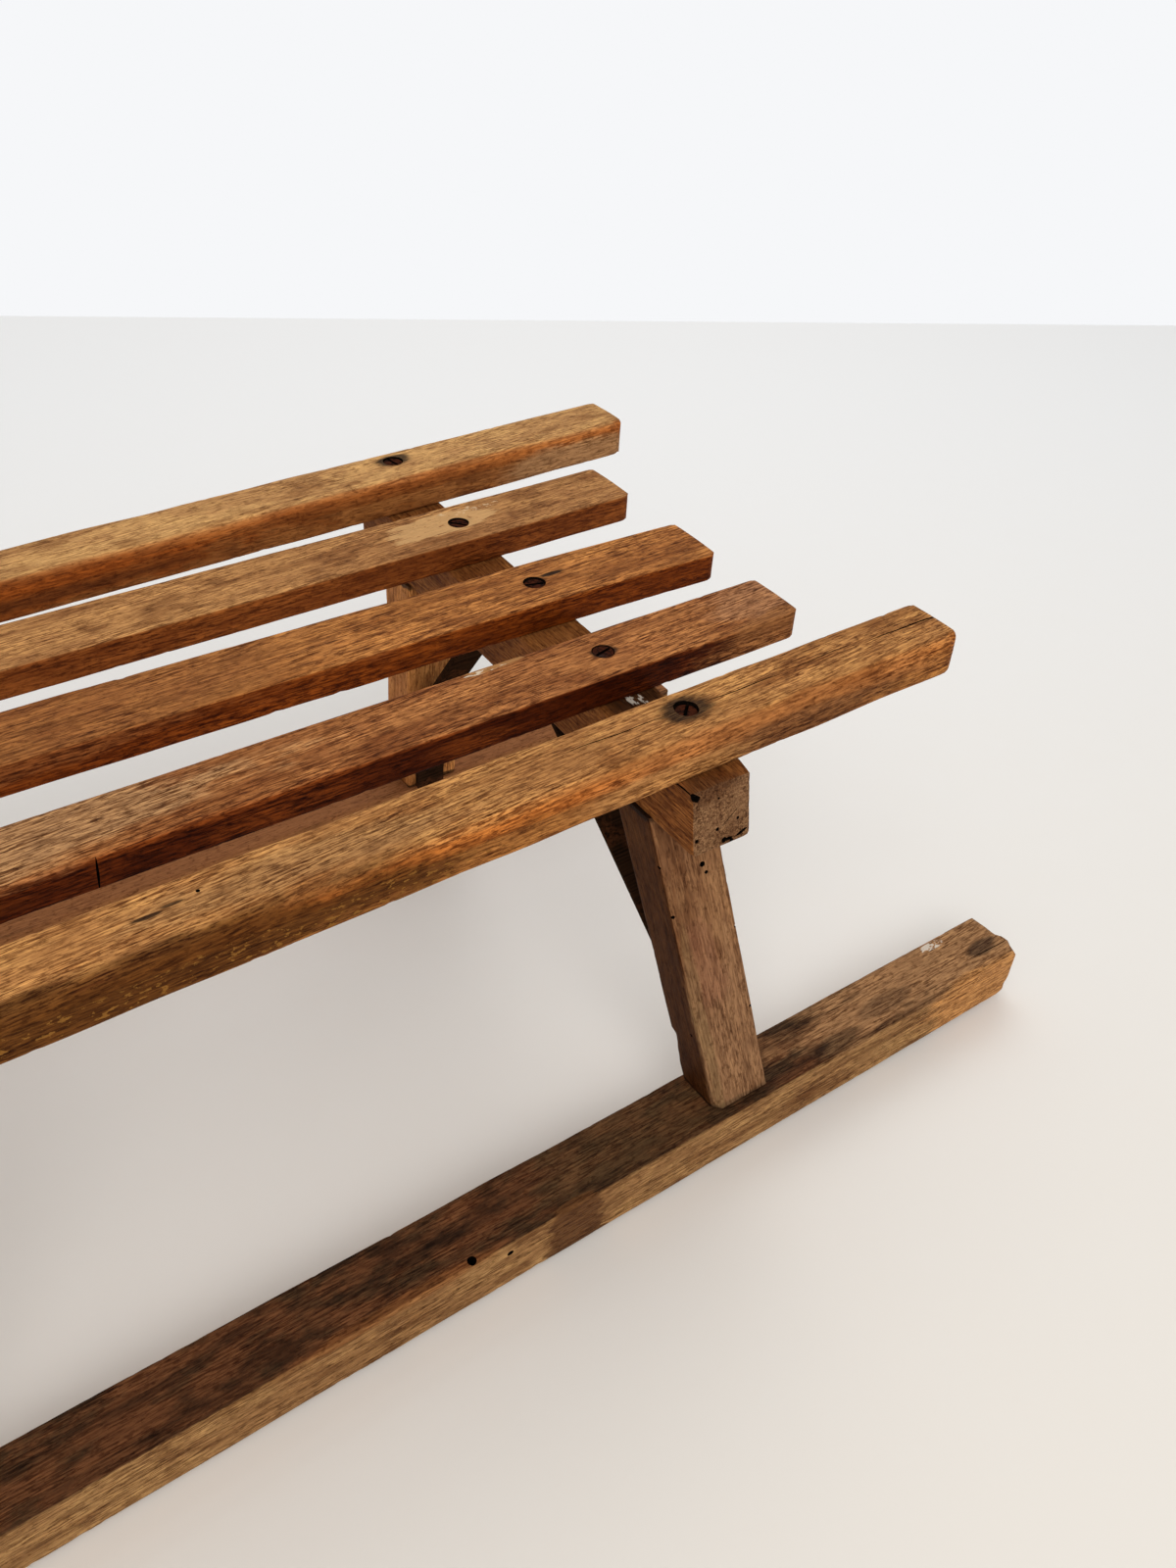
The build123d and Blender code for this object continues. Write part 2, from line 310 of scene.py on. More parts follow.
def wood(
    name, seed, top, side, crown=(0, 0, 1), edge=None, ends=None, stains_and_shade=(), paint=(),
    fibre=1.0, roughness=0.5, slant=0.0,
):
    """Weathered beech, from (light, middle, dark) tones.

    top is for the face that looks towards crown, and side for the others, whose tones some pieces have
    darker as painted shade. edge is (tones, strength) of the rubbed edge above the left side, and ends
    the tones of the end grain. Stains and painted shadows are each (place, size, tone, strength), and a
    fifth value makes their border sharper or softer. paint is (place, size, tone, cover) of old paint or
    bare wood, and how much of it is there. fibre is how strongly the grain's lines show, and slant how
    they run askew.
    """
    material = bpy.data.materials.new(name)
    material.use_nodes = True
    tree = material.node_tree
    skin = tree.nodes["Principled BSDF"]
    skin.inputs["Specular IOR Level"].default_value = 0.04
    grain = node(tree, "Attribute", output=1, attribute_name="grain")
    facing = node(tree, "Attribute", output=1, attribute_name="facing")
    tilted = node(tree, "Mapping", {"Vector": grain, "Rotation": (0, 0, slant)})
    parts = tree.nodes.new("ShaderNodeSeparateXYZ")
    tree.links.new(facing, parts.inputs[0])
    clouds = figure(tree, grain, (9, 30, 30), 3, seed)
    bands = figure(tree, tilted, (9, 120, 120), 5, seed + 1)
    patches = figure(tree, grain, (30, 70, 70), 5, seed + 2)
    mottling = figure(tree, grain, (60, 130, 130), 4, seed + 7)
    lines = figure(tree, tilted, (70, 1100, 1100), 3, seed + 3)
    flecks = figure(tree, tilted, (190, 1500, 1500), 3, seed + 4)
    swell = figure(tree, tilted, (16, 90, 90), 3, seed + 6)
    grime = figure(tree, grain, (260, 520, 520), 5, seed + 5)

    def times(a, b):
        return combine(tree, "MULTIPLY", a, b)

    def laid(light, middle, dark):
        """The ground colour of one face, in its three tones."""
        mottle = combine(tree, "ADD", times(clouds, 0.55), times(mottling, 0.45))
        ground = over(tree, reach(tree, mottle, 0.43, 0.57), middle, light)
        ground = over(tree, times(reach(tree, bands, 0.47, 0.7), 0.7), ground, dark)
        return over(tree, times(reach(tree, patches, 0.52, 0.66), 0.65), ground, dark)

    up = node(tree, "VectorMath", {0: facing, 1: crown}, 1, operation="DOT_PRODUCT")
    up = combine(tree, "ADD", up, times(combine(tree, "SUBTRACT", patches, 0.5), 0.5))
    colour = over(tree, reach(tree, up, 0.6, 0.85), laid(*side), laid(*top))
    if edge:
        tones, strength = edge
        toward = combine(tree, "ADD", parts.outputs[1], times(combine(tree, "SUBTRACT", bands, 0.5), 0.7))
        rubbed = times(reach(tree, toward, 0.2, 0.55), reach(tree, toward, 1.05, 0.82))
        rubbed = times(times(rubbed, reach(tree, parts.outputs[2], 0.1, 0.35)), strength)
        colour = over(tree, rubbed, colour, laid(*tones))
    if ends:
        rings = node(tree, "Mapping", {"Vector": grain, "Rotation": (0.75, 0, 0), "Scale": (1, 260, 1500)})
        rings = node(tree, "TexNoise", {"Vector": rings, "Scale": 1, "Detail": 3, "Roughness": 0.6})
        light, middle, dark = ends
        sawn = over(tree, reach(tree, rings, 0.42, 0.62), light, middle)
        sawn = over(tree, times(reach(tree, patches, 0.45, 0.65), 0.6), sawn, dark)
        sawn = over(tree, times(reach(tree, grime, 0.52, 0.64), 0.45), sawn, dark)
        along = combine(tree, "ABSOLUTE", parts.outputs[0])
        colour = over(tree, reach(tree, along, 0.5, 0.85), colour, sawn)
    ragged = combine(tree, "ADD", times(patches, 1.4), times(bands, 1.2))
    ragged = combine(tree, "ADD", ragged, times(lines, 0.6))
    ragged = combine(tree, "SUBTRACT", ragged, 1.6)
    for place, size, mark_tone, strength, *soft in stains_and_shade:
        mask = oval_mask(tree, grain, place, size, ragged, *soft)
        colour = over(tree, times(mask, strength), colour, mark_tone)
    pale = (1.42, 1.45, 1.4, 1)
    deep = (0.4, 0.31, 0.25, 1)
    dirt = (0.38, 0.3, 0.24, 1)
    limits = {"From Min": 0.38, "From Max": 0.62, "To Min": 0.5 * fibre, "To Max": fibre}
    open_grain = node(tree, "MapRange", {"Value": swell, **limits})
    dark_line = times(times(reach(tree, lines, 0.505, 0.585), 0.85), open_grain)
    pale_line = times(times(reach(tree, lines, 0.48, 0.4), 0.75), open_grain)
    dark_fleck = times(times(reach(tree, flecks, 0.54, 0.6), 0.85), open_grain)
    pale_fleck = times(times(reach(tree, flecks, 0.47, 0.4), 0.6), open_grain)
    dirty = times(reach(tree, grime, 0.54, 0.66), 0.6)
    colour = over(tree, dark_line, colour, deep, "MULTIPLY")
    colour = over(tree, pale_line, colour, pale, "MULTIPLY")
    colour = over(tree, dark_fleck, colour, deep, "MULTIPLY")
    colour = over(tree, pale_fleck, colour, pale, "MULTIPLY")
    colour = over(tree, dirty, colour, dirt, "MULTIPLY")
    for place, size, dab, cover in paint:
        left_over = reach(tree, grime, 0.7 - 0.4 * cover, 0.74 - 0.4 * cover)
        mask = times(oval_mask(tree, grain, place, size, ragged, 0.16), left_over)
        colour = over(tree, times(mask, 0.8), colour, dab)
    tree.links.new(colour, skin.inputs["Base Color"])
    tree.links.new(combine(tree, "ADD", times(grime, 0.25), roughness), skin.inputs["Roughness"])
    raised = combine(tree, "SUBTRACT", times(lines, 0.8), dark_fleck)
    raised = combine(tree, "ADD", raised, times(grime, 0.5))
    bump = node(tree, "Bump", {"Height": raised, "Strength": 0.6, "Distance": 0.0004})
    tree.links.new(bump, skin.inputs["Normal"])
    return material


# Holes, splits and screw slots get this painted shade as their second skin.
hole_shade = hole_shade_skin()
runner_top_tones = tone(106, 66, 40), tone(70, 49, 31), tone(34, 22, 14)
runner_side_tones = shades(146, 106, 66, 1.2)
end_tones = shades(120, 85, 58)


def runner_line(side):
    """How a point of the straight bar goes to its place along a runner, and where the bar starts,
    turns up and ends."""
    low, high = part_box(f"runner_{side}")
    sign = 1 if side == "left" else -1
    outer, inner = (high.y, low.y) if side == "left" else (low.y, high.y)
    middle_y = outer - sign * runner_width / 2
    middle_z = low.z + runner_height / 2
    rise = beam_top - middle_z
    lean = atan2(sign * middle_y - abs(inner) - runner_width / 2, rise)
    straight = (rise - bend_radius * (1 - cos(bend))) / sin(bend)
    run = bend_radius * sin(bend) + straight * cos(bend)
    bend_start = high.x - runner_height / 2 / sin(bend) - run
    up = Vector((0, -sign * sin(lean), cos(lean)))
    axis = Vector((0, -cos(lean), -sign * sin(lean)))
    along = Vector((1, 0, 0)) * cos(bend) + up * sin(bend)
    begin = Vector((bend_start, middle_y, middle_z))
    centre = begin + up * bend_radius
    bend_end = bend_start + bend_radius * bend

    def place(p):
        if p.x <= bend_start:
            return Vector((p.x, middle_y + p.y, middle_z + p.z))
        turn = Matrix.Rotation(min(p.x - bend_start, bend_end - bend_start) / bend_radius, 3, axis)
        at = centre + turn @ (begin + Vector((0, p.y, p.z)) - centre)
        if p.x > bend_end:
            at += along * (p.x - bend_end) / straight * (beam_top - at.z) / along.z
        return at

    return place, low.x, bend_start, bend_end + straight


runner_stains = {
    # place on the straight bar, size, tone, strength, and 0.12 for a sharp border
    "left": [
        ((-0.4, -0.002, 0.016), (0.1, 0.03, 0.004), tone(168, 124, 84), 0.85),
        ((-0.19, 0.0, 0.016), (0.05, 0.02, 0.004), tone(96, 70, 44), 0.55),
        ((-0.436, 0.003, 0.016), (0.012, 0.005, 0.005), tone(70, 50, 36), 0.85),
        ((-0.375, 0.0155, 0.0162), (0.07, 0.0022, 0.003), tone(70, 44, 27), 0.5),
        ((-0.362, 0.004, 0.016), (0.02, 0.007, 0.004), tone(78, 54, 38), 0.5),
        ((-0.318, 0.0095, 0.016), (0.02, 0.0045, 0.004), tone(48, 33, 22), 0.6),
        ((-0.3, -0.006, 0.016), (0.03, 0.006, 0.004), tone(122, 84, 54), 0.4),
        ((-0.43, 0.0168, 0.0), (0.05, 0.006, 0.02), tone(192, 134, 78), 0.75),
        ((-0.153, 0.0168, -0.002), (0.0168, 0.005, 0.04), tone(96, 62, 35), 0.95, 0.12),
        ((-0.06, 0.0165, 0.0155), (0.055, 0.004, 0.0045), tone(138, 84, 44), 0.5),
    ],
    "right": [((-0.05, 0.0, 0.016), (0.6, 0.03, 0.02), tone(160, 104, 64), 0.85)],
}
runner_paint = {
    "left": [((-0.412, -0.0125, 0.016), (0.01, 0.0032, 0.01), tone(226, 214, 198), 0.6)],
    "right": [],
}
runner_fibres = {"left": 1.0, "right": 0.5}
runner_edge = 0.0016
for side, seed in (("left", 2), ("right", 11)):
    place, tail, _, tip = runner_line(side)
    skins = [
        wood(
            f"runner_{side}_wood", seed, runner_top_tones, runner_side_tones,
            edge=(shades(62, 38, 24), 0.5), ends=end_tones, stains_and_shade=runner_stains[side],
            paint=runner_paint[side], fibre=runner_fibres[side],
        ),
        hole_shade,
    ]
    bm = bar(tail, tip, runner_width, runner_height, step=0.002, rows=(13, 12))
    wear(bm, seed, lambda side, top: runner_edge, heel=heel_round, corners=(0.003, 0.0075), rough=0.00018)
    if side == "left":
        # A tongue of wood is left standing between the two chips at its tail.
        shave(bm, (tail + 0.005, 0, 0.0155), (-0.88, -0.08, 0.46), 0.0006, lambda p: p.y < 0.0015)
        shave(bm, (tail + 0.0072, 0.016, 0.0155), (-0.72, 0.3, 0.62), 0.0005, lambda p: p.y > 0.0088)
        shave(bm, (tail + 0.0035, 0, 0.0158), (-0.66, 0, 0.75), 0.0005)
        cutter = bmesh.new()
        bore(cutter, (-0.0985, 0.0146, 0.016), (0, 0.3, 1), 0.0023, 0.006)
        bore(cutter, (-0.1174, 0.0168, 0.008), (-0.5, 1, 0), 0.0016, 0.005)
        split = (tail + 0.0025, 0.0068, 0.016), (tail + 0.034, 0.0062, 0.0161)
        crack(cutter, *split, (0, 0, 1), width=0.0008, depth=0.003, wander=0.0006, seed=3)
        carve(bm, cutter, skins)
    fit_in(f"worn_runner_{side}", bm, place, skins, f"runner_{side}")

# ------------------------------------------------------------------ shoes
# A steel band under each runner and up the front of its horn, where the heads of its nails show. Snow
# keeps its sole bare in places, and rust takes the rest.


def steel(name, bare, rust, black, rust_from, polish, glint=0.05):
    """Worn iron: bare metal, rust in blotches and black scale, with rough rusty places.

    The lower rust_from is, the more of it is rusty. polish is how metallic the bare metal looks.
    """
    material = bpy.data.materials.new(name)
    material.use_nodes = True
    tree = material.node_tree
    skin = tree.nodes["Principled BSDF"]
    skin.inputs["Specular IOR Level"].default_value = glint
    where = node(tree, "TexCoord", output=3)
    blotch = figure(tree, where, (60, 60, 60), 5, 1)
    speck = figure(tree, where, (420, 420, 420), 4, 5)
    drawn = figure(tree, where, (30, 900, 900), 2, 9)
    rusty = combine(tree, "ADD", blotch, combine(tree, "MULTIPLY", speck, 0.3))
    rusty = reach(tree, rusty, rust_from, rust_from + 0.14)
    metal = over(tree, reach(tree, drawn, 0.4, 0.7), bare, black)
    flaky = over(tree, reach(tree, speck, 0.4, 0.65), rust, black)
    tree.links.new(over(tree, rusty, metal, flaky), skin.inputs["Base Color"])
    dulled = combine(tree, "MULTIPLY", rusty, polish * 0.9)
    tree.links.new(combine(tree, "SUBTRACT", polish, dulled), skin.inputs["Metallic"])
    roughened = combine(tree, "MULTIPLY", rusty, 0.45)
    tree.links.new(combine(tree, "ADD", 0.38, roughened), skin.inputs["Roughness"])
    height = combine(tree, "ADD", combine(tree, "MULTIPLY", speck, 0.6), blotch)
    bump = node(tree, "Bump", {"Height": height, "Strength": 0.5, "Distance": 0.0006})
    tree.links.new(bump, skin.inputs["Normal"])
    return material


def stud(name, spot, out, radius, height, skin):
    """A nail's or a screw's domed head, seated on a face that looks along out."""
    bm = bmesh.new()
    bmesh.ops.create_cone(
        bm, cap_ends=True, segments=24, radius1=radius, radius2=radius * 0.94, depth=height / 2
    )
    for _ in range(2):
        crown = max(bm.faces, key=lambda f: f.calc_center_median().z)
        bmesh.ops.inset_region(bm, faces=[crown], thickness=radius * 0.3, depth=height / 4)
    turn = out.to_track_quat("Z", "Y").to_matrix().to_4x4()
    seat = Matrix.Translation(Vector(spot) + out * height / 4) @ turn
    bmesh.ops.transform(bm, matrix=seat, verts=bm.verts)
    finish_piece(name, bm, [skin])


def paint_node(name, skin):
    """Gives its skin to a piece that is shown just as its CAD node has it."""
    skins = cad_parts[name].data.materials
    skins.clear()
    skins.append(skin)


shoe_thickness = 0.0031      # with the hair's breadth under the runner
shoe_top_gap = 0.024         # from the horn's tip
shoe_nails = 4
shoe_nail_margin = 0.012     # from the shoe's end
shoe_nail_pitch = 0.088
shoe_nail_radius = 0.0036
shoe_nail_height = 0.0009
shoe_steel = steel(
    "shoe_steel", tone(150, 140, 130), tone(122, 70, 38), tone(70, 52, 42), rust_from=0.62,
    polish=0.85,
)
for side in ("left", "right"):
    paint_node(f"shoe_{side}", shoe_steel)
    place, _, _, tip = runner_line(side)
    below = -runner_height / 2 - shoe_thickness
    first = tip - shoe_top_gap - shoe_nail_margin
    for count in range(shoe_nails):
        x = first - shoe_nail_pitch * count
        spot, deeper = (place(Vector((x, 0, z))) for z in (below, below + 0.001))
        stud(
            f"nail_shoe_{side}_{count + 1}", spot, (spot - deeper).normalized(), shoe_nail_radius,
            shoe_nail_height, shoe_steel,
        )

# ------------------------------------------------------------------ crossbeams
# Square beech beams across the runners' legs, grey-brown and bored by beetles at their ends. The rear
# one was knocked round a little, and a corner is broken off its left end.
beam_depth = 0.0306
beam_length = 0.2942
rear_skew = 0.023
beam_tones = shades(124, 74, 36)
beam_edge = 0.0014
for bridge, seed, skew in (("rear", 21, rear_skew), ("front", 25, 0.0)):
    low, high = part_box(f"crossbeam_{bridge}")
    middle = (low + high) / 2
    turn = Matrix.Rotation(pi / 2 - atan2(skew, 1), 3, "Z")
    tip = beam_length / 2
    face = beam_depth / 2
    roof = (high.z - low.z) / 2
    bm = bar(-tip, tip, beam_depth, 2 * roof, step=0.0016, rows=(13, 13))
    wear(bm, seed, lambda side, top: beam_edge, end=0.0012, rough=0.0001)
    cutter = bmesh.new()
    stains_and_shade = []
    paint = []
    if bridge == "rear":
        # The bar's +X end is its left end in the sled, and its +Y side faces the rear.
        shave(bm, (tip, 0, -roof), (0.988, 0, 0.156), 0.0003)
        shave(bm, (tip - 0.0055, 0.0131, roof), (0.172, 0.983, 0.05), 0.0003)
        shave(bm, (tip - 0.009, face - 0.0006, roof), (0.34, 0.6, 0.72), 0.0002)
        shave(bm, (tip, face - 0.0015, 0.002 - roof), (0.2, 0.6, -0.77), 0.0004)
        arris = (tip - 0.0175, -face, roof - 0.0024), (tip - 0.0045, -face, roof - 0.0022)
        crack(cutter, *arris, (0, -1, 0.3), width=0.0016, depth=0.0026, wander=0.0012, seed=5)
        bore(cutter, (tip - 0.0046, 0.0004 - face, roof - 0.0022), (0, -0.8, 0.5), 0.0017, 0.002)
        for first, last, width, depth, wander, number in (
            # splits in its end grain: in from the end, to the rear, up
            ((0.0014, -0.0019, -0.0061), (0.0028, 0.0099, 0.0023), 0.0005, 0.0025, 0.0004, 9),
            ((0.0006, 0.0005, -0.0126), (0.0006, 0.0052, -0.0122), 0.0026, 0.005, 0.0004, 4),
            ((0.0006, 0.0064, -0.0128), (0.0006, 0.0128, -0.0106), 0.0024, 0.005, 0.0003, 7),
        ):
            first, last = ((tip - inward, rear, up) for inward, rear, up in (first, last))
            crack(cutter, first, last, (1, 0, 0), width, depth, wander, number)
        for rear, up, radius in (
            # borers' holes in its end grain
            (0.0007, -0.0122, 0.0014), (0.0045, -0.0138, 0.001), (0.0075, -0.0042, 0.0008),
            (-0.0132, -0.0075, 0.001), (-0.0029, -0.0057, 0.0009), (-0.0025, 0.0085, 0.0006),
        ):
            bore(cutter, (tip - 0.0012, rear, up), (1, 0, 0), radius, 0.006)
        stains_and_shade = [
            ((tip - 0.002, -0.006, roof - 0.002), (0.012, 0.012, 0.006), tone(84, 52, 30), 0.7),
            ((0.078, 0.002, roof), (0.02, 0.014, 0.003), tone(44, 25, 15), 0.85),
        ]
        paint = [
            ((0.072, 0.001, roof), (0.011, 0.007, 0.004), tone(226, 214, 198), 0.55),
            ((0.086, 0.006, roof), (0.004, 0.003, 0.003), tone(226, 214, 198), 0.5),
        ]
    else:
        for rear, up, radius in ((0.004, -0.008, 0.0008), (-0.008, 0.003, 0.0006)):
            bore(cutter, (-tip, rear, up), (-1, 0, 0), radius, 0.006)
    skins = [
        wood(
            f"crossbeam_{bridge}_wood", seed, beam_tones, beam_tones, ends=end_tones, stains_and_shade=stains_and_shade,
            paint=paint, fibre=0.95,
        ),
        hole_shade,
    ]
    carve(bm, cutter, skins, tangled=True)
    name = f"crossbeam_{bridge}"
    fit_in(f"worn_{name}", bm, lambda p: middle + turn @ p, skins, name)

# ------------------------------------------------------------------ legs
# Flat beech bars with a tenon at each end, splayed outwards and raked away from the sled's middle.
# They are dry and brown, with a few borers' holes, and an edge of the left rear one is knocked off.
leg_depth = 0.0336
leg_thickness = 0.026
seat_in = 0.0006             # how far a leg's shoulders bed into the runner and the beam
runner_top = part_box("runner_left")[0].z + runner_height
beam_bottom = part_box("crossbeam_front")[0].z
leg_lines = {}
leg_outer_tones = shades(130, 90, 60)
knocked_leg_stains = [
    ((0.035, 0.013, 0.002), (0.06, 0.004, 0.03), tone(150, 112, 80), 0.5),
    ((0.085, 0.013, -0.006), (0.03, 0.004, 0.012), tone(128, 82, 60), 0.45),
    ((0.06, 0.013, -0.013), (0.07, 0.004, 0.004), tone(116, 94, 60), 0.4),
]
# The rear left leg's front, inner and rear faces are dark, partly with dirt and partly as painted shade.
leg_side_tones = {("rear", "left"): shades(74, 42, 19), ("rear", "right"): shades(178, 116, 64)}
leg_edge = 0.0016
joint_shadow_reach = 0.003           # how far the dark round a leg's shoulders reaches
for bridge, fore in (("rear", -1), ("front", 1)):
    for side, out in (("left", 1), ("right", -1)):
        seed = 31 + 3 * fore + out
        low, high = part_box(f"leg_{bridge}_{side}")
        inner, outer = (low.y, high.y) if side == "left" else (high.y, low.y)
        back, ahead = (low.x, high.x) if bridge == "rear" else (high.x, low.x)
        head = Vector((ahead + fore * leg_depth / 2, inner + out * leg_thickness / 2, beam_bottom))
        foot = Vector((back - fore * leg_depth / 2, outer - out * leg_thickness / 2, runner_top))
        leg_lines[bridge, side] = head, foot
        drop = beam_bottom - runner_top
        slope = (foot - head) / drop
        bm = bar(-seat_in, drop + seat_in, leg_thickness, leg_depth, step=0.0016, rows=(12, 13))
        wear(bm, seed, lambda side, top: leg_edge, end=0.0003, corners=(0.0003, 0.0003), rough=0.00016)
        cutter = bmesh.new()
        face = leg_thickness / 2
        rear = -leg_depth / 2
        # Painted shadow of the gap where each end of the leg meets the runner and the beam.
        stains_and_shade = [
            ((end, 0, 0), (joint_shadow_reach, 0.03, 0.03), tone(24, 15, 10), 0.85) for end in (0, drop)
        ]
        if (bridge, side) == ("rear", "left"):
            stains_and_shade += knocked_leg_stains
            shave(bm, (0.004, face - 0.0012, rear + 0.0012), (-0.35, 0.66, -0.66), 0.0003)
            shave(
                bm, (0.02, 0.001 - face, rear + 0.0014), (0.1, -0.7, -0.7), 0.0006,
                lambda p: 0.01 < p.x < 0.034,
            )
            for up, across, radius in (
                # borers' holes in its outer face
                (0.1399, 0.0049, 0.0015), (0.1351, 0.0061, 0.001), (0.161, 0.0158, 0.0009),
                (0.1, 0.016, 0.0009), (0.052, 0.0155, 0.0008), (0.12, -0.0155, 0.001),
            ):
                bore(cutter, (up, face, across), (0, 1, 0), radius, 0.006)
            for up, outward in ((0.1467, 0.0118), (0.0447, 0.0061)):
                bore(cutter, (up, outward, rear), (0, 0, -1), 0.0009, 0.006)
        else:
            bore(cutter, (0.05 + 0.02 * out, face, 0.004 * fore), (0, 1, 0), 0.0009, 0.006)
        side_tones = leg_side_tones.get((bridge, side), leg_outer_tones)
        skins = [
            wood(
                f"leg_{bridge}_{side}_wood", seed, leg_outer_tones, side_tones, crown=(0, 1, 0),
                stains_and_shade=stains_and_shade, fibre=0.75,
            ),
            hole_shade,
        ]
        carve(bm, cutter, skins)

        def place(p, foot=foot, slope=slope, out=out):
            """The bar's own X runs up the leg, its Y outwards and its Z to the rear."""
            return foot - slope * p.x + Vector((-p.z, out * p.y, 0))

        name = f"leg_{bridge}_{side}"
        fit_in(f"worn_{name}", bm, place, skins, name)

# ------------------------------------------------------------------ stays
# One iron strap a bridge, forged with a flat pad under the crossbeam and an arm down to each leg. It
# is black with old paint and scale, browned by rust.
stay_thickness = 0.003
stay_shift = 0.0025          # ahead of the crossbeam's and the leg's middle
pad_screws = 0.044           # apart
foot_nail_height = 0.016     # above the runner
stay_head_radius = 0.004
stay_head_height = 0.0012
beams_to_left = 0.0046       # of the sled's middle
rear_low, rear_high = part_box("crossbeam_rear")
front_low, front_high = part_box("crossbeam_front")
rear_x = (rear_low.x + rear_high.x) / 2 - beams_to_left * rear_skew
front_x = (front_low.x + front_high.x) / 2
stay_iron = steel(
    "stay_iron", tone(48, 31, 20), tone(72, 42, 25), tone(22, 14, 9), rust_from=0.64, polish=0.0,
    glint=0.0,
)
for bridge, bridge_x in (("rear", rear_x), ("front", front_x)):
    paint_node(f"stay_{bridge}", stay_iron)
    for side, out in (("left", 1), ("right", -1)):
        pad = Vector((bridge_x + stay_shift, out * pad_screws / 2, beam_bottom - stay_thickness))
        stud(
            f"screw_stay_{bridge}_{side}", pad, Vector((0, 0, -1)), stay_head_radius,
            stay_head_height, stay_iron,
        )
        head, foot = leg_lines[bridge, side]
        share = (runner_top + foot_nail_height - head.z) / (foot.z - head.z)
        spot = head + (foot - head) * share
        spot += Vector((stay_shift, -out * (leg_thickness / 2 + stay_thickness), 0))
        stud(
            f"nail_stay_{bridge}_{side}", spot, Vector((0, -out, 0)), stay_head_radius,
            stay_head_height, stay_iron,
        )

# ------------------------------------------------------------------ seat slats
# Five beech slats, laid by eye and screwed down into both crossbeams. The outer two are thicker and
# are screwed to the horns too, and their edge to the sled's left is rubbed round and orange.
outer_width = 0.0326
inner_width = 0.0353
outer_thickness = 0.0187
inner_thickness = 0.0142
slats = {
    # place across the rear crossbeam, yaw in degrees, screws ahead of the beam, screws to the left
    "slat_outer_right": (-0.1246, 1.3, 0.0012, -0.0056),
    "slat_inner_right": (-0.064, 0.06, 0.0002, -0.0002),
    "slat_middle": (0.002, -1.07, -0.0023, -0.0004),
    "slat_inner_left": (0.0641, -0.23, 0.0023, 0.0),
    "slat_outer_left": (0.1236, 0.14, 0.0003, -0.0039),
}
screw_sinks = {
    # how deep the heads sit, and how far the wood is stained round them
    "slat_outer_right": (0.0008, 0.009),
    "slat_inner_right": (0.0008, 0.006),
    "slat_middle": (0.001, 0.0072),
    "slat_inner_left": (0.0003, 0.0062),
    "slat_outer_left": (0.0015, 0.013),
}
# How far they stray from the drawing: sawn off short behind, planed narrow on the right, and bowed to
# the left behind the crossbeam.
strays = {"slat_inner_left": (0.0002, 0.0022, 0), "slat_middle": (0, 0, 0.0018)}
slat_tones = {
    # the top, and the sides, darker partly in their own colour and partly as painted shade between the
    # slats
    "slat_outer_right": (shades(187, 138, 86), shades(140, 86, 44)),
    "slat_inner_right": (shades(166, 115, 69), shades(118, 61, 24)),
    "slat_middle": (shades(167, 106, 55), shades(114, 52, 13)),
    "slat_inner_left": (shades(158, 99, 55), shades(70, 26, 4)),
    "slat_outer_left": (shades(177, 122, 70), shades(150, 95, 48)),
}
slat_fibres = {
    "slat_outer_right": 0.8, "slat_inner_right": 0.9, "slat_middle": 1.15,
    "slat_inner_left": 1.3, "slat_outer_left": 1.2,
}
slat_edges = {
    # the rubbed left edge, and how far it shows
    "slat_outer_right": (shades(166, 92, 40), 0.75),
    "slat_inner_right": (shades(150, 92, 48), 0.3),
    "slat_middle": (shades(164, 92, 40), 0.3),
    "slat_inner_left": (shades(130, 62, 24), 0.3),
    "slat_outer_left": (shades(202, 126, 64), 0.5),
}
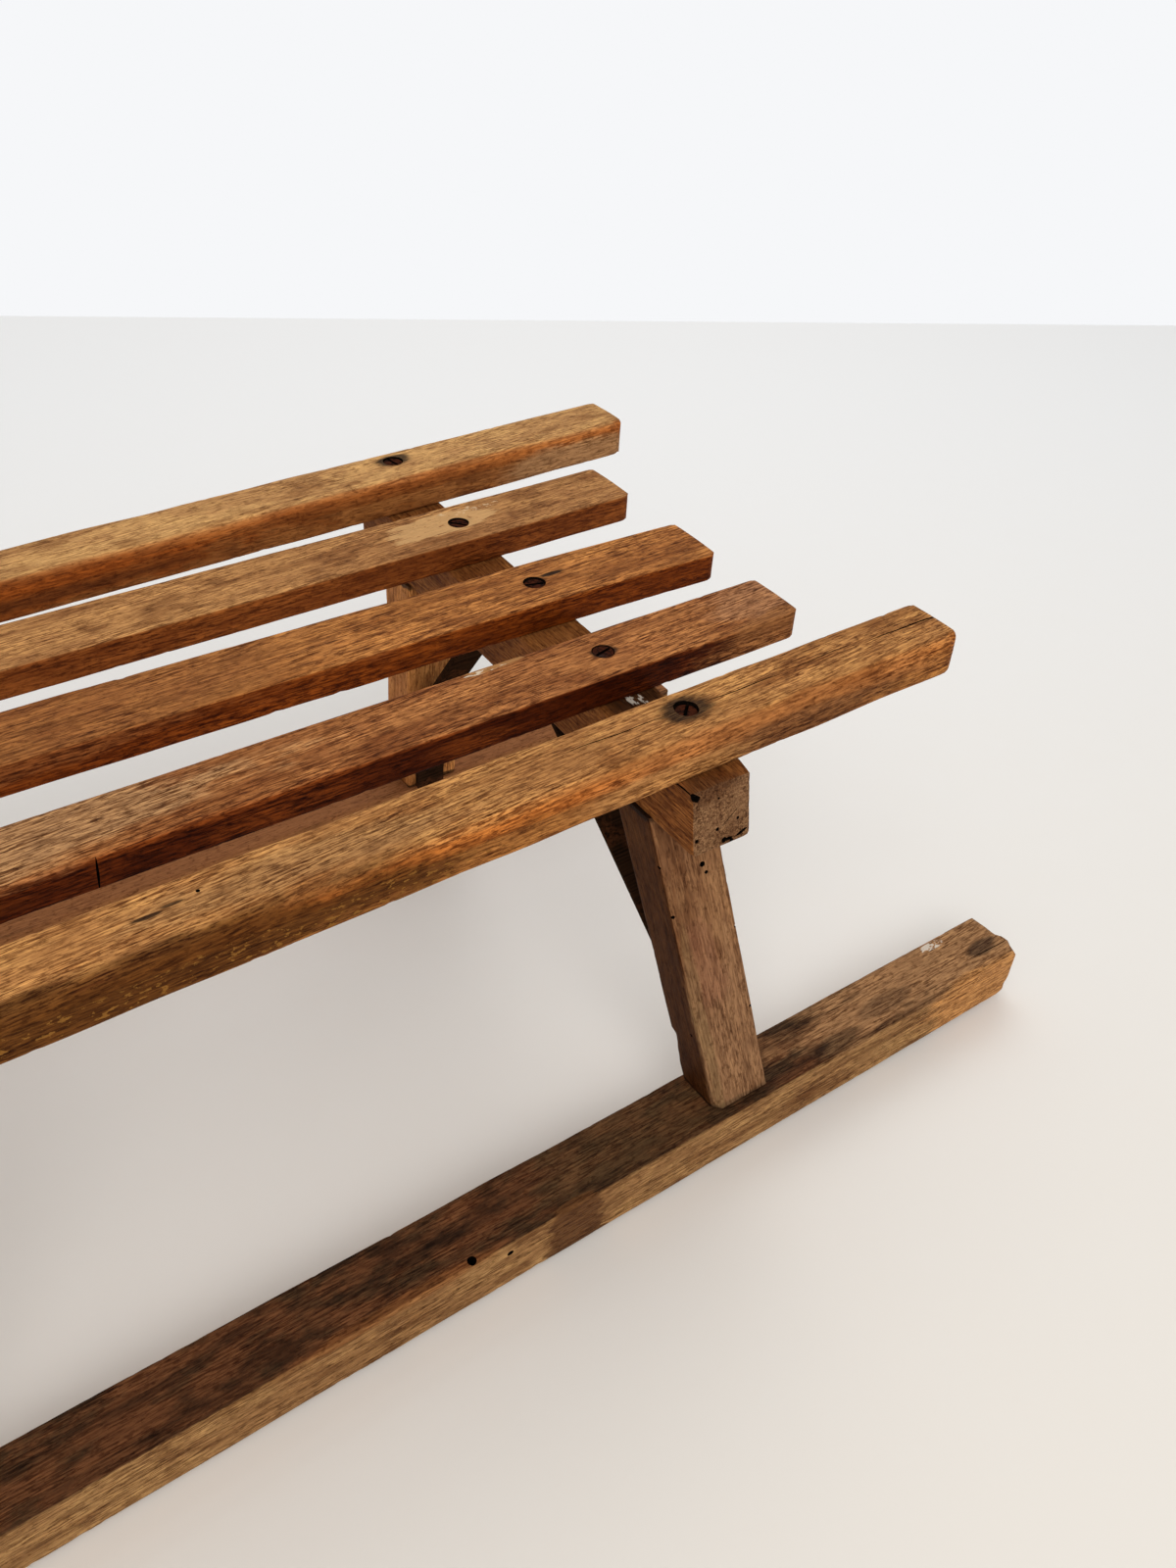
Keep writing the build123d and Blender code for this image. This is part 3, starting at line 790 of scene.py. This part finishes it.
slat_stains = {
    # place on the straight bar, along it from the rear crossbeam, size, tone and strength
    "slat_outer_right": [
        ((0.3, 0.0145, 0.0), (0.25, 0.006, 0.01), tone(120, 58, 18), 0.85),
        ((-0.105, 0.0163, -0.003), (0.05, 0.003, 0.009), tone(166, 124, 84), 0.8),
        ((0.02, 0.016, 0.004), (0.09, 0.004, 0.003), tone(122, 64, 24), 0.7),
        ((0.24, 0.0163, 0.004), (0.14, 0.004, 0.0022), tone(146, 72, 22), 0.6),
        ((0.19, 0.0163, -0.002), (0.07, 0.004, 0.0025), tone(84, 44, 20), 0.6),
        ((0.34, 0.0163, -0.003), (0.05, 0.004, 0.003), tone(80, 42, 18), 0.6),
    ],
    "slat_middle": [
        ((0.25, 0.0, 0.007), (0.15, 0.03, 0.01), tone(124, 74, 40), 0.55),
        ((-0.0135, -0.0035, 0.0071), (0.008, 0.0016, 0.002), tone(16, 10, 7), 0.95),
    ],
    "slat_inner_left": [
        ((0.3, -0.004, 0.0071), (0.15, 0.02, 0.004), tone(168, 128, 88), 0.75),
        ((-0.09, 0.002, 0.0071), (0.035, 0.02, 0.003), tone(164, 118, 84), 0.6),
        ((-0.095, 0.0155, -0.001), (0.06, 0.006, 0.02), tone(150, 98, 56), 0.95),
        ((0.2, 0.017, 0.0066), (0.1, 0.0024, 0.002), tone(150, 76, 30), 0.35),
        ((0.16, 0.0165, -0.002), (0.03, 0.004, 0.006), tone(110, 52, 16), 0.6),
        ((0.08, 0.0165, -0.001), (0.022, 0.004, 0.005), tone(116, 56, 18), 0.6),
        ((0.3, 0.0165, -0.001), (0.05, 0.004, 0.005), tone(98, 46, 14), 0.6),
    ],
    "slat_outer_left": [
        ((0.15, 0.014, 0.0045), (0.13, 0.006, 0.003), tone(192, 108, 44), 0.6),
        ((-0.03, 0.0145, 0.004), (0.09, 0.006, 0.006), tone(158, 100, 56), 0.6),
        ((0.27, 0.0145, 0.001), (0.17, 0.008, 0.011), tone(80, 45, 15), 0.92),
        ((-0.045, 0.0163, -0.003), (0.05, 0.003, 0.008), tone(96, 62, 38), 0.6),
        ((0.02, 0.0163, -0.004), (0.05, 0.003, 0.006), tone(176, 126, 76), 0.6),
        ((0.165, -0.001, 0.0094), (0.06, 0.009, 0.003), tone(158, 118, 76), 0.5),
        ((0.075, -0.003, 0.0094), (0.04, 0.008, 0.003), tone(150, 100, 56), 0.45),
        ((0.223, -0.003, 0.0094), (0.005, 0.0009, 0.002), tone(44, 28, 18), 0.9),
        ((0.214, -0.0045, 0.0094), (0.004, 0.0008, 0.002), tone(44, 28, 18), 0.8),
    ],
}
slat_paint = {
    # bare and pale places: place, size, tone and cover
    "slat_inner_left": [
        ((0.05, -0.0145, 0.0071), (0.017, 0.0034, 0.002), tone(176, 126, 76), 1.0),
        ((0.055, -0.0128, 0.0071), (0.013, 0.0013, 0.002), tone(224, 206, 180), 0.55),
    ],
    "slat_inner_right": [
        ((0.008, -0.003, 0.0071), (0.03, 0.01, 0.003), tone(208, 162, 108), 0.9),
        ((-0.012, -0.01, 0.0071), (0.02, 0.003, 0.003), tone(222, 190, 150), 0.35),
    ],
    "slat_outer_left": [((0.24, 0.0163, -0.003), (0.16, 0.003, 0.0065), tone(142, 96, 42), 0.34)],
}
head_radius = 0.0046


def push(bm, faces, by):
    """Pushes faces in or out, with new walls round them."""
    made = bmesh.ops.extrude_face_region(bm, geom=faces)["geom"]
    moved = [g for g in made if isinstance(g, bmesh.types.BMVert)]
    bmesh.ops.translate(bm, verts=moved, vec=by)
    bmesh.ops.delete(bm, geom=[f for f in faces if f.is_valid], context="FACES_ONLY")
    return moved


def screw_head(name, spot, turn, sink_depth, skin):
    """A slotted wood screw's head, countersunk."""
    neck_radius = 0.0018
    head_depth = 0.004
    bm = bmesh.new()
    bmesh.ops.create_cone(
        bm, cap_ends=True, segments=40, radius1=neck_radius, radius2=head_radius, depth=head_depth
    )
    top = max(bm.faces, key=lambda f: f.calc_center_median().z)
    bmesh.ops.inset_region(bm, faces=[top], thickness=0.0004, depth=0.0002)
    slot_half = 0.0007
    slot_depth = 0.0013
    slot_margin = 0.0003
    hair = 1e-5
    for offset in (-slot_half, slot_half):
        geom = bm.verts[:] + bm.edges[:] + bm.faces[:]
        bmesh.ops.bisect_plane(bm, geom=geom, plane_co=(0, offset, 0), plane_no=(0, 1, 0))
    level = max(v.co.z for v in bm.verts)
    strip = []
    for f in bm.faces:
        at = f.calc_center_median()
        if f.normal.z > 0.9 and abs(at.y) < slot_half and at.z > level - hair:
            strip.append(f)
    push(bm, strip, (0, 0, -slot_depth))
    # The slot's faces take the painted shade of holes.
    for f in bm.faces:
        at = f.calc_center_median()
        in_slot = at.z < level - hair and abs(at.y) < slot_half + hair
        f.material_index = int(in_slot and hypot(at.x, at.y) < head_radius - slot_margin)
    seat = Matrix.Translation(Vector(spot) - Vector((0, 0, sink_depth + level)))
    bmesh.ops.transform(bm, matrix=seat @ Matrix.Rotation(turn, 4, "Z"), verts=bm.verts)
    finish_piece(name, bm, [skin, hole_shade])


def countersink(cutter, x, y, top, sunk):
    """Adds a screw's countersunk hole to a cutter, a little torn round its rim."""
    sink = bmesh.new()
    depth = 0.005
    bmesh.ops.create_cone(
        sink, cap_ends=True, segments=36, radius1=0.0012, radius2=head_radius + 0.0004, depth=depth
    )
    lid = max(sink.faces, key=lambda f: f.calc_center_median().z)
    for v in push(sink, [lid], (0, 0, sunk + 0.001)):
        torn = 1.1 + 0.12 * noise.noise(v.co * 300 + Vector((x * 90, y, 0)))
        v.co.x *= torn
        v.co.y *= torn
    bmesh.ops.translate(sink, verts=sink.verts, vec=(x, y, top - sunk - depth / 2))
    put_in(cutter, sink)


screw_skin = steel(
    "screw_iron", tone(44, 26, 18), tone(66, 30, 16), tone(15, 8, 6), rust_from=0.42, polish=0.0,
    glint=0.02,
)
horn_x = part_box("runner_left")[1].x - runner_height / 2 / sin(bend)
slat_gap = 0.0003            # how much shorter than its node a slat is, at each end
rubbed_edge = 0.0075         # the outer slats' left top edge
outer_edge = 0.0026
inner_edge = 0.0013
end_bulge = 0.0006           # how far a slat's rear end curves out
bulge_length = 0.03
bow_length = 0.09            # behind the crossbeam
for order, (name, (across, yaw, ahead, aside)) in enumerate(slats.items()):
    outer = "outer" in name
    seed = 40 + 5 * order
    width = outer_width if outer else inner_width
    thickness = outer_thickness if outer else inner_thickness
    top = thickness / 2
    low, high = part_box(name)
    straight = cos(radians(yaw))
    short, narrow, bow = strays.get(name, (0, 0, 0))
    start = (low.x - rear_x) / straight + slat_gap
    end = (high.x - rear_x) / straight - slat_gap
    rows = (14, 10 if outer else 9)
    bm = bar(start + short, end, width - narrow, thickness, step=0.0016, rows=rows)

    def slat_edge(side, top, outer=outer):
        """The outer slats are rounded most along their left top edge."""
        if outer and side > 0 and top > 0:
            return rubbed_edge
        return outer_edge if outer else inner_edge

    corners = (0.0038, 0.0082 if outer else 0.0058)
    wear(bm, seed, slat_edge, end=0.0018, corners=corners, rough=0.00011)
    for v in bm.verts:
        fading = max(0, 1 - (v.co.x - start) / bulge_length)
        v.co.x += end_bulge * (v.co.y / width * 2) ** 2 * fading
        v.co.y += narrow / 2 + bow * min(1, max(0, -v.co.x / bow_length)) ** 2
    screws = []
    for bridge_x, skew in ((rear_x, rear_skew), (front_x, 0)):
        screws.append(((bridge_x - rear_x + skew * across + ahead) / straight, aside))
    if outer:
        screws.append(((horn_x - rear_x) / straight, 0))
    cutter = bmesh.new()
    sunk, halo = screw_sinks[name]
    for x, y in screws:
        countersink(cutter, x, y, top, sunk)
    if name == "slat_outer_left":
        # Splits run along it, and stop a little short of its deep screw.
        rear_screw = screws[0][0]
        clear = 0.0066
        for first, last, gape, depth in (
            ((start - 0.03, -0.001), (-0.096, -0.0028), 0.0013, 0.005),
            ((-0.088, -0.0046), (-0.05, -0.0036), 0.0007, 0.002),
            ((-0.047, -0.003), (rear_screw - clear, aside + 0.0004), 0.0009, 0.003),
            ((rear_screw + clear, aside), (rear_screw + 0.062, aside - 0.001), 0.0008, 0.003),
        ):
            ends = (*first, top), (*last, top)
            crack(cutter, *ends, (0, 0, 1), gape, depth, wander=0.0008, seed=2 + first[0])
        bore(cutter, (0.205, -0.006, top), (0, 0, 1), 0.0008, 0.003)
    if name == "slat_inner_left":
        # A split crosses its left side.
        ends = (0.2262, width / 2, top + 0.001), (0.2275, width / 2, -top - 0.001)
        crack(cutter, *ends, (0, 1, 0), width=0.0016, depth=0.0016, wander=0.0008, seed=3)
    stains_and_shade = slat_stains.get(name, []) + [
        ((x, y, top), (halo, halo * 0.65, 0.004), tone(26, 17, 12), 0.88) for x, y in screws
    ]
    skins = [
        wood(
            f"{name}_wood", seed, *slat_tones[name], edge=slat_edges[name], ends=end_tones,
            stains_and_shade=stains_and_shade, paint=slat_paint.get(name, ()), fibre=slat_fibres[name], slant=radians(-3),
        ),
        hole_shade,
    ]
    carve(bm, cutter, skins)
    middle = Vector((rear_x, across, beam_top + top))
    turn = Matrix.Rotation(radians(yaw), 3, "Z")
    fit_in(f"worn_{name}", bm, lambda p: middle + turn @ p, skins, name)
    for count, (x, y) in enumerate(screws):
        spot = middle + turn @ Vector((x, y, top))
        slot_turn = radians(100 + 57 * count + 31 * order)
        screw_head(f"screw_{name}_{count + 1}", spot, slot_turn, sunk, screw_skin)

# ------------------------------------------------------------------ cross rod
# A turned beech rung between the horns, with a shouldered end in a hole through each. Tow ropes tied
# round its middle have worn it a little there.
low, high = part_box("cross_rod")
middle = (low + high) / 2
rod_radius = (high.z - low.z) / 2
rod_end_radius = 0.008
rod_turn = radians(70)       # how far round the bend it passes through the horns
rod_easing = 0.0015
rope_wear = 0.0004           # off its radius, where ropes were tied
rope_reach = 0.04            # along it
shoulder_easing = 0.0006
shoulder_gap = 0.0003
outline = []
for side, out in (("right", -1), ("left", 1)):
    place, _, bend_start, _ = runner_line(side)
    reached = bend_start + bend_radius * rod_turn + rod_radius
    horn_face = place(Vector((reached, -out * runner_width / 2, 0)))
    end = (low.y if out < 0 else high.y) - middle.y
    shoulder = horn_face.y - out * shoulder_gap - middle.y
    steps = [
        (end, 0),
        (end, rod_end_radius - rod_easing),
        (end - out * rod_easing, rod_end_radius),
        (shoulder, rod_end_radius),
        (shoulder, rod_radius - shoulder_easing),
        (shoulder - out * shoulder_easing, rod_radius),
    ]
    outline += steps if out < 0 else reversed(steps)
bm = bmesh.new()
line = [bm.verts.new((x, 0, radius)) for x, radius in outline]
for a, b in zip(line, line[1:]):
    bm.edges.new((a, b))
bmesh.ops.spin(
    bm, geom=bm.verts[:] + bm.edges[:], cent=(0, 0, 0), axis=(1, 0, 0), angle=2 * pi, steps=48,
    use_merge=True,
)
bmesh.ops.remove_doubles(bm, verts=bm.verts, dist=1e-6)
bmesh.ops.recalc_face_normals(bm, faces=bm.faces)
long_edges = [e for e in bm.edges if abs(e.verts[0].co.x - e.verts[1].co.x) > 0.02]
bmesh.ops.subdivide_edges(bm, edges=long_edges, cuts=80, use_grid_fill=True)
bm.normal_update()
for v in bm.verts:
    rubbed = rope_wear * exp(-((v.co.x / rope_reach) ** 2))
    uneven = 0.0002 * noise.noise(v.co * 60) + 0.0001 * noise.noise(v.co * 400)
    v.co -= v.normal * (rubbed + uneven)
rod_tones = shades(156, 102, 60)
rod_skins = [wood("cross_rod_wood", 71, rod_tones, rod_tones, ends=end_tones, fibre=0.7, roughness=0.42)]


def across_horns(p):
    """The rung's own X runs to the sled's left."""
    return middle + Vector((-p.y, p.x, p.z))


fit_in("worn_cross_rod", bm, across_horns, rod_skins, "cross_rod")

# ------------------------------------------------------------------ floor, light and camera
# A plain pale studio floor that ends at the back in a white ground, a large soft lamp over the sled's
# right rear and another over its left front, and a camera at its left that looks back and down.
backward = Vector((-0.469, -0.883, 0))
floor_back = 1.129           # how far back the floor ends
floor_half = 7
bm = bmesh.new()
bmesh.ops.create_grid(bm, x_segments=1, y_segments=1, size=floor_half)
turn = Matrix.Rotation(atan2(backward.y, backward.x), 4, "Z")
shift = Matrix.Translation(backward * (floor_back - floor_half))
bmesh.ops.transform(bm, matrix=shift @ turn, verts=bm.verts)
mesh = bpy.data.meshes.new("floor")
bm.to_mesh(mesh)
bm.free()
floor_paint = bpy.data.materials.new("floor_paint")
floor_paint.use_nodes = True
tree = floor_paint.node_tree
skin = tree.nodes["Principled BSDF"]
skin.inputs["Roughness"].default_value = 0.6
where = node(tree, "TexCoord", output=3)
# Painted shade: the floor grows a little darker and warmer towards the front, for the light falling off
# there.
depth = node(tree, "VectorMath", {0: where, 1: backward}, 1, operation="DOT_PRODUCT")
falloff_wobble = figure(tree, where, (30, 30, 30), 5, 3)
depth = combine(tree, "ADD", depth, combine(tree, "MULTIPLY", falloff_wobble, 0.12))
far_tone = tone(248, 248, 248)
near_shade_tone = tone(244, 237, 227)
shaded = over(tree, reach(tree, depth, 1.1, -0.5), far_tone, near_shade_tone)
tree.links.new(shaded, skin.inputs["Base Color"])
mesh.materials.append(floor_paint)
floor = bpy.data.objects.new("floor", mesh)
bpy.context.scene.collection.objects.link(floor)

# The world lights the sled from all round, least from above, and is a white ground to the camera and
# in reflections.
world = bpy.data.worlds.new("studio")
bpy.context.scene.world = world
world.use_nodes = True
tree = world.node_tree
ground = tree.nodes["Background"]
seen = node(tree, "LightPath").node.outputs
clear = combine(tree, "MAXIMUM", seen["Is Camera Ray"], seen["Is Glossy Ray"])
clear = combine(tree, "MAXIMUM", clear, seen["Is Transmission Ray"])
shown = over(tree, clear, (1, 0.99, 0.97, 1), tone(246, 247, 249))
tree.links.new(shown, ground.inputs["Color"])
direction = tree.nodes.new("ShaderNodeSeparateXYZ")
tree.links.new(node(tree, "TexCoord"), direction.inputs[0])
limits = {"From Max": 0.8, "To Min": 1.2, "To Max": 0.3}
around = node(tree, "MapRange", {"Value": direction.outputs[2], **limits})
strength = node(tree, "MapRange", {"Value": clear, "To Min": around, "To Max": 1.0})
tree.links.new(strength, ground.inputs["Strength"])

lamps = {
    # place, width and power
    "key": ((-1.1, -1.1, 2.1), 1.8, 16),
    "fill": ((0.7, 1.5, 1.9), 1.6, 27),
}
lamps_aim = Vector((0, 0, 0.1))
for name, (place, size, power) in lamps.items():
    lamp = bpy.data.lights.new(name, "AREA")
    lamp.shape = "SQUARE"
    lamp.size = size
    lamp.energy = power
    light = bpy.data.objects.new(name, lamp)
    light.location = place
    light.rotation_euler = (lamps_aim - light.location).to_track_quat("-Z", "Y").to_euler()
    bpy.context.scene.collection.objects.link(light)

eye = Vector((0.0691, 0.4443, 0.5644))
look = Vector((-0.47294, -0.62029, -0.62575)).normalized()
roll = 0.0669
focal_length = 30.886        # millimetres, on a 36 mm sensor
right = look.cross(Vector((0, 0, 1))).normalized()
above = right.cross(look)
lens = bpy.data.cameras.new("camera")
lens.lens = focal_length
lens.sensor_width = 36
lens.sensor_fit = "AUTO"
camera = bpy.data.objects.new("camera", lens)
bpy.context.scene.collection.objects.link(camera)
rolled_right = cos(roll) * right + sin(roll) * above
rolled_above = cos(roll) * above - sin(roll) * right
stand = Matrix((rolled_right, rolled_above, -look)).transposed().to_4x4()
stand.translation = eye
camera.matrix_world = stand
bpy.context.scene.camera = camera
bpy.context.scene.view_settings.view_transform = "Standard"
